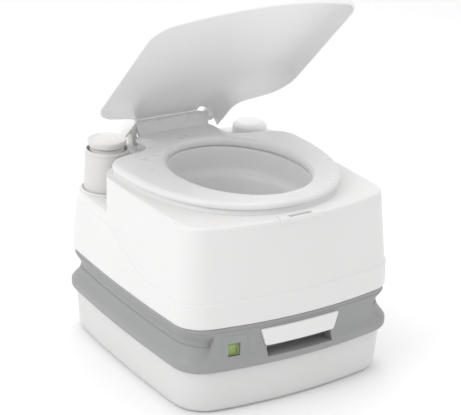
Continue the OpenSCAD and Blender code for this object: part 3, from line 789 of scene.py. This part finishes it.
def make_flush_tank():
    rings = [wall_ring(*ring) for ring in WALL_RINGS]
    edge = rings[-1][:, :2]
    foot = seat_outline(-2)
    rings += [at_height(edge + (foot - edge) * share, 289 + 0.1 * share) for share in (0.08, 0.5, 0.92)]
    rings += [at_height(seat_outline(inset), z) for inset, z in
              [(0, 289.2), (1.2, 289.7), (2.2, 290.8), (3.0, 292.4), (3.5, 294.2), (4.1, 295.6),
               (5.2, 296.2)]]
    rings += [at_height(ellipse(a, b, -27), z) for a, b, z in
              [(115, 142, 296.2), (113.5, 140.5, 295.6), (113.4, 140.4, 293.3), (106.8, 133.8, 293.2)]]
    rings += [at_height(ellipse(a + BOWL_WALL + 0.5, b + BOWL_WALL + 0.5, y), z) for a, b, y, z in BOWL[4:-1]]
    rings.append(at_height(ellipse(50.6, 50.6, -20), SPLIT_Z))
    tank = loft("flush_tank_shell", rings, closed=True)
    pump_low, pump_high = box_mm("pump_cylinder")
    pump = (pump_low + pump_high) / 2
    combine(tank, prism("notch", notch_outline(), NOTCH_Z, 330))
    combine(tank, lathe("well", [(43, NOTCH_Z), (43, 330)], pump))
    combine(tank, lathe("bore", [(34, pump_low[2] - 1), (34, NOTCH_Z + 4)], pump))
    neck_low, neck_high = box_mm("fill_neck")
    combine(tank, lathe("filler", [(24.3, neck_low[2] - 1), (24.3, 330)], (neck_low + neck_high) / 2))
    plate_low, plate_high = box_mm("front_latch_plate")
    combine(tank, block("seat_for_latch", plate_low - [0.4, 12, 0], plate_high + [0.4, 0.4, 20]))
    finish_piece(tank, "white_shell", "flush_tank", "flush_tank")


# ---- seat and lid ----


def make_seat():
    outer = seat_outline(0)
    opening_a, opening_b = 102, 129
    edge = ellipse(opening_a, opening_b, -27)

    def share(part, z):
        return at_height(edge + (outer - edge) * part, z)

    def hole(out, z):
        return at_height(ellipse(opening_a + out, opening_b + out, -27), z)

    rim = [at_height(seat_outline(inset), z) for inset, z in
           [(2.4, 297.1), (1, 297.3), (0.2, 298.4), (0, 300.6), (0.4, 303), (1.8, 305.3), (4.4, 307),
            (8, 307.9)]]
    crest = [share(0.62, 308.8), share(0.42, 310), share(0.26, 310.9), share(0.15, 311.1), share(0.08, 310.6)]
    well = [hole(3.0, 309.3), hole(1.2, 307.6), hole(0.3, 305.4), hole(0, 302.6), hole(0.5, 299.4),
            hole(1.6, 297.6), hole(3, 297.1)]
    seat = loft("seat_ring", smoothed(rim + crest + well, 3), closed=True, sharp=50)
    finish_piece(seat, "seat_plastic", "seat", "seat")


def opened(obj):
    """Turns a piece made in the closed lid's place to where the lid stands at rest."""
    place = Matrix.Translation(Vector(HINGE * MM))
    obj.data.transform(place @ Matrix.Rotation(math.radians(-LID_OPEN), 4, "X") @ place.inverted())


def crowned(outline, centre, z_edge, z_middle, shares):
    """Rings that draw in to the centre while the surface rises."""
    return [at_height(centre + (outline - centre) * s, z_middle + (z_edge - z_middle) * s * s)
            for s in shares]


HINGE_POST_X = 67
POST_NOTCH_HALF = 6.2


def make_lid():
    centre = np.array([0, 20])
    outer = [(1.4, 294.6), (0.6, 294.9), (0.15, 295.8), (0, 297.4), (0.2, 302), (0.6, 308), (1.4, 314),
             (2.8, 318.8), (5, 322.8), (8, 325.8), (12, 327.9), (17, 329.0), (24, 329.5)]
    shell = [at_height(lid_outline(inset), z) for inset, z in outer]
    shell += crowned(lid_outline(24), centre, 329.5, 330, (0.9, 0.7, 0.45, 0.2, 0.02))
    inner = [(3.2, 292), (3.3, 300), (3.9, 306), (5.2, 311.4), (7.6, 316), (11.4, 319.9), (16.6, 322.8),
             (23, 324.9), (30, 326)]
    room = [at_height(lid_outline(inset, rear=204), z) for inset, z in inner]
    room += crowned(lid_outline(30, rear=204), centre, 326, 326.8, (0.9, 0.7, 0.45, 0.2, 0.02))
    lid = loft("lid_shell", shell)
    # Cut over the hinge posts first: the same cut after the room leaves nothing
    for x in (-HINGE_POST_X, HINGE_POST_X):
        combine(lid, block("notch", (x - POST_NOTCH_HALF, 178, 280), (x + POST_NOTCH_HALF, 210, 340)))
    combine(lid, loft("room", room))
    opened(lid)
    # The lid takes the brighter white, whose extra lightness is painted light
    finish_piece(lid, "white_lid", "lid", "lid")


# ---- pump and filler ----


def make_pump():
    low, high = box_mm("pump_cylinder")
    centre = (low + high) / 2
    column = [(4, 184), (33.6, 184), (33.6, 237.6), (36.7, 238.6), (36.8, 240), (34.4, 296),
              (34.2, 297.2), (33.4, 297.8), (33.4, 299.2), (34.1, 299.8), (34, 301.6), (33.2, 302.2),
              (33.2, 303), (33.2, 303.6), (32.8, 304.8), (32, 305), (31.5, 304.4), (31.5, 187.4),
              (4, 187.4)]
    finish_piece(loft_ring("pump_column", column, centre), "pump_plastic", "flush_tank", "pump_cylinder")
    ring = [(38.7, 238.4), (42.3, 238), (42.6, 238.6), (42.5, 240.2), (41.9, 240.9), (39.4, 241),
            (38.7, 240.4)]
    finish_piece(loft_ring("pump_foot_ring", ring, centre), "white_shell", "flush_tank", "pump_collar")
    pad = [(0.6, 316.5), (12, 316.6), (22, 317), (25.8, 318), (27.6, 319.6), (28.6, 320), (29.8, 319.9),
           (30.5, 319.3), (30.7, 318.4), (30.6, 315.4), (29.8, 314.2), (29.2, 313), (29, 310.4),
           (28.4, 309.9), (25.4, 309.9), (25, 310.4), (25, 312.4), (24.4, 312.6), (0.6, 312.6)]
    finish_piece(loft_ring("pump_push_pad", pad, centre), "pump_plastic", "pump", "pump_pad")


def loft_ring(name, profile, centre, count=96, sharp=40):
    """Closed profile of (radius, height) turned all the way round."""
    turn = np.linspace(0, 2 * np.pi, count, endpoint=False)
    rings = [np.column_stack([centre[0] + r * np.cos(turn), centre[1] + r * np.sin(turn), np.full(count, z)])
             for r, z in profile]
    return loft(name, rings, closed=True, sharp=sharp)


def make_bellows():
    low, high = box_mm("pump_bellows")
    centre, folds, inner, outer = (low + high) / 2, 9, 23, 27.4
    pitch = (high[2] - low[2]) / folds
    wave = [(inner + (outer - inner) * (0.5 - 0.5 * math.cos(2 * math.pi * t)), low[2] + pitch * (k + t))
            for k in range(folds) for t in np.arange(6) / 6] + [(inner, high[2])]
    profile = wave + [(r - 2, z) for r, z in wave[::-1]]
    bellows = finish_piece(loft_ring("pump_bellows_sleeve", profile, centre, 64), "pump_plastic", "pump",
                           "pump_bellows")
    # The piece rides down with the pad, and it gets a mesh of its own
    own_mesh(bellows)


# ---- Geometry Nodes: ribs round a cap, cross-head screws ----


def nodes_tree(name, inputs):
    tree = bpy.data.node_groups.new(name, "GeometryNodeTree")
    for label, kind in inputs:
        tree.interface.new_socket(name=label, in_out="INPUT", socket_type=kind)
    tree.interface.new_socket(name="Geometry", in_out="OUTPUT", socket_type="NodeSocketGeometry")
    return tree, tree.nodes.new("NodeGroupInput"), tree.nodes.new("NodeGroupOutput")


def linked(tree, kind, **links):
    """Adds a node and joins or sets its inputs, whose names have _ for a space."""
    node = tree.nodes.new(kind)
    for label, value in links.items():
        socket = node.inputs[label.replace("_", " ")]
        if isinstance(value, bpy.types.NodeSocket):
            tree.links.new(value, socket)
        else:
            socket.default_value = value
    return node


def made_by_nodes(name, tree, values, points=()):
    """Runs a tree on a bare mesh of points and returns the plain result."""
    mesh = bpy.data.meshes.new(name)
    mesh.from_pydata([tuple(p) for p in points], [], [])
    obj = bpy.data.objects.new(name, mesh)
    bpy.context.collection.objects.link(obj)
    modifier = obj.modifiers.new("shape", "NODES")
    modifier.node_group = tree
    for item in tree.interface.items_tree:
        if item.in_out == "INPUT" and item.name in values:
            modifier[item.identifier] = values[item.name]
    bpy.context.view_layer.update()
    result = bpy.data.meshes.new_from_object(obj.evaluated_get(bpy.context.evaluated_depsgraph_get()))
    obj.modifiers.clear()
    obj.data = result
    return obj


def make_rib_tree():
    tree, given, out = nodes_tree("ribs_round_cap", [
        ("Count", "NodeSocketInt"), ("Radius", "NodeSocketFloat"), ("Rib Radius", "NodeSocketFloat"),
        ("Height", "NodeSocketFloat"), ("Material", "NodeSocketMaterial")])
    circle = linked(tree, "GeometryNodeMeshCircle", Vertices=given.outputs["Count"],
                    Radius=given.outputs["Radius"])
    rib = linked(tree, "GeometryNodeMeshCylinder", Vertices=10, Radius=given.outputs["Rib Radius"],
                 Depth=given.outputs["Height"])
    ribs = linked(tree, "GeometryNodeInstanceOnPoints", Points=circle.outputs["Mesh"],
                  Instance=rib.outputs["Mesh"])
    real = linked(tree, "GeometryNodeRealizeInstances", Geometry=ribs.outputs[0])
    done = linked(tree, "GeometryNodeSetMaterial", Geometry=real.outputs[0],
                  Material=given.outputs["Material"])
    tree.links.new(done.outputs[0], out.inputs[0])
    return tree


def make_screw_tree():
    tree, given, out = nodes_tree("cross_head_screws", [
        ("Geometry", "NodeSocketGeometry"), ("Head Radius", "NodeSocketFloat"),
        ("Head Height", "NodeSocketFloat"), ("Shank Radius", "NodeSocketFloat"),
        ("Length", "NodeSocketFloat"), ("Material", "NodeSocketMaterial")])
    head = linked(tree, "GeometryNodeMeshCylinder", Vertices=28, Radius=given.outputs["Head Radius"],
                  Depth=given.outputs["Head Height"])
    slot_size = linked(tree, "ShaderNodeCombineXYZ", X=0.0036, Y=0.0008, Z=0.0022)
    slot_a = linked(tree, "GeometryNodeMeshCube", Size=slot_size.outputs[0])
    turned = linked(tree, "GeometryNodeTransform", Geometry=slot_a.outputs["Mesh"])
    turned.inputs["Rotation"].default_value = (0, 0, math.pi / 2)
    cross = linked(tree, "GeometryNodeJoinGeometry")
    tree.links.new(slot_a.outputs["Mesh"], cross.inputs[0])
    tree.links.new(turned.outputs[0], cross.inputs[0])
    half = tree.nodes.new("ShaderNodeMath")
    half.operation = "MULTIPLY"
    half.inputs[1].default_value = -0.5
    tree.links.new(given.outputs["Head Height"], half.inputs[0])
    down = linked(tree, "ShaderNodeCombineXYZ", Z=half.outputs[0])
    low_cross = linked(tree, "GeometryNodeTransform", Geometry=cross.outputs[0], Translation=down.outputs[0])
    cut = tree.nodes.new("GeometryNodeMeshBoolean")
    cut.operation = "DIFFERENCE"
    tree.links.new(head.outputs["Mesh"], cut.inputs["Mesh 1"])
    tree.links.new(low_cross.outputs[0], cut.inputs["Mesh 2"])
    shank = linked(tree, "GeometryNodeMeshCylinder", Vertices=20, Radius=given.outputs["Shank Radius"],
                   Depth=given.outputs["Length"])
    lift = tree.nodes.new("ShaderNodeMath")
    lift.operation = "MULTIPLY"
    lift.inputs[1].default_value = 0.5
    tree.links.new(given.outputs["Length"], lift.inputs[0])
    above = linked(tree, "ShaderNodeCombineXYZ", Z=lift.outputs[0])
    raised = linked(tree, "GeometryNodeTransform", Geometry=shank.outputs["Mesh"],
                    Translation=above.outputs[0])
    whole = linked(tree, "GeometryNodeJoinGeometry")
    tree.links.new(cut.outputs["Mesh"], whole.inputs[0])
    tree.links.new(raised.outputs[0], whole.inputs[0])
    many = linked(tree, "GeometryNodeInstanceOnPoints", Points=given.outputs["Geometry"],
                  Instance=whole.outputs[0])
    real = linked(tree, "GeometryNodeRealizeInstances", Geometry=many.outputs[0])
    done = linked(tree, "GeometryNodeSetMaterial", Geometry=real.outputs[0],
                  Material=given.outputs["Material"])
    tree.links.new(done.outputs[0], out.inputs[0])
    return tree


def make_screws():
    tree = make_screw_tree()
    low, high = box_mm("valve_screws")
    head = 3.4
    corners = [(x, y, low[2] + 1.65) for x in (low[0] + head, high[0] - head)
               for y in (low[1] + head, high[1] - head)]
    low2, high2 = box_mm("handle_screws")
    pair = [(x, (low2[1] + high2[1]) / 2, low2[2] + 1.45) for x in (low2[0] + 3, high2[0] - 3)]
    for name, points, radius, shank, length, node in (
            ("valve_frame_screws", corners, head, 1.5, high[2] - low[2] - 1.7, "valve_screws"),
            ("handle_clevis_screws", pair, 3.0, 1.4, high2[2] - low2[2] - 1.5, "handle_screws")):
        screws = made_by_nodes(name, tree, {
            "Head Radius": radius * MM, "Head Height": 3 * MM, "Shank Radius": shank * MM,
            "Length": length * MM, "Material": MATERIALS["screw_steel"]}, np.array(points) * MM)
        tidy_mesh(screws, merge=1e-7)
        finish_piece(screws, "screw_steel", NODE_BODY[node], node)


def make_filler_cap():
    low, high = box_mm("fill_cap")
    centre = (low + high) / 2
    floor = box_mm("fill_gasket")[0][2]
    top = high[2]
    cap = [(25, floor), (27.9, floor), (28.4, floor + 0.6), (28.4, floor + 9.6), (27.9, floor + 11),
           (22.6, top - 0.7), (21.4, top - 0.1), (20, top), (6, top), (0.5, top), (0.5, floor + 10),
           (25, floor + 10)]
    body = loft_ring("filler_cap", cap, centre, 120)
    skirt = loft_ring("skirt", [(17, low[2]), (20, low[2]), (20, floor + 11), (17, floor + 11)], centre)
    ribs = made_by_nodes("ribs", make_rib_tree(), {
        "Count": 30, "Radius": 27.75 * MM, "Rib Radius": 0.75 * MM, "Height": 7.5 * MM,
        "Material": MATERIALS["handle_plastic"]})
    ribs.data.transform(Matrix.Translation(Vector((centre[0], centre[1], floor + 5.6)) * MM))
    join(body, skirt, ribs)
    finish_piece(body, "handle_plastic", "fill_cap", "fill_cap")


# ---- mechanical pieces: the frame's own shapes with soft edges ----

SOFT_EDGES = {"seat_hinge_bar": 1.2, "hinge_brackets": 0.9, "lid_knuckles": 0.9,
              "front_latch_plate": 0.7, "spout_socket": 0.5, "vent_housing": 0.4, "latch_bracket": 0.5,
              "rear_latch": 0.7, "vent_button": 0.8, "pour_spout": 0.7, "spout_cap": 0.4,
              "fill_neck": 0.4, "valve_frame": 0.5, "valve_neck": 0.4, "valve_blade": 0.3,
              "float_arm": 0.3, "float_bulb": 1.2, "float_bracket": 0.3, "gauge_flag": 0.3,
              "flush_nozzle": 0.3, "pump_rod": 0.3}


def make_soft_edged(node, width):
    source = frame["nodes"][node]
    obj = bpy.data.objects.new(node + "_moulded", source.data.copy())
    bpy.context.collection.objects.link(obj)
    bm = bmesh.new()
    bm.from_mesh(obj.data)
    bmesh.ops.remove_doubles(bm, verts=bm.verts, dist=2e-6)
    bmesh.ops.dissolve_limit(bm, angle_limit=math.radians(1), verts=bm.verts, edges=bm.edges)
    bm.to_mesh(obj.data)
    bm.free()
    with_modifier(obj, "BEVEL", width=width * MM, segments=2, limit_method="ANGLE",
                  angle_limit=math.radians(38))
    with_modifier(obj, "WEIGHTED_NORMAL", keep_sharp=True)
    finish_piece(obj, NODE_SLOT[node], NODE_BODY[node], node)


def dress_frame():
    """Every node that is still shown gets its finish."""
    for name, obj in frame["nodes"].items():
        for place in obj.material_slots:
            place.material = MATERIALS[NODE_SLOT[name]]
        if not obj.material_slots:
            obj.data.materials.append(MATERIALS[NODE_SLOT[name]])


def make_floor():
    bpy.ops.mesh.primitive_plane_add(size=30, location=(0, 0, -0.0005))
    floor = bpy.context.object
    floor.name = "floor"
    pale = plastic("pale_floor", (0.93, 0.93, 0.93), (0.92, 0.92, 0.92), (0.8, 0.9), dust=0.0)
    floor.data.materials.append(pale)


make_camera()
make_studio()
make_floor()
make_waste_tank()
make_collar()
make_handle()
make_level_bezel()
make_flush_tank()
make_bowl()
make_seat()
make_lid()
make_pump()
make_bellows()
make_filler_cap()
make_screws()
for soft_node, soft_width in SOFT_EDGES.items():
    make_soft_edged(soft_node, soft_width)
dress_frame()
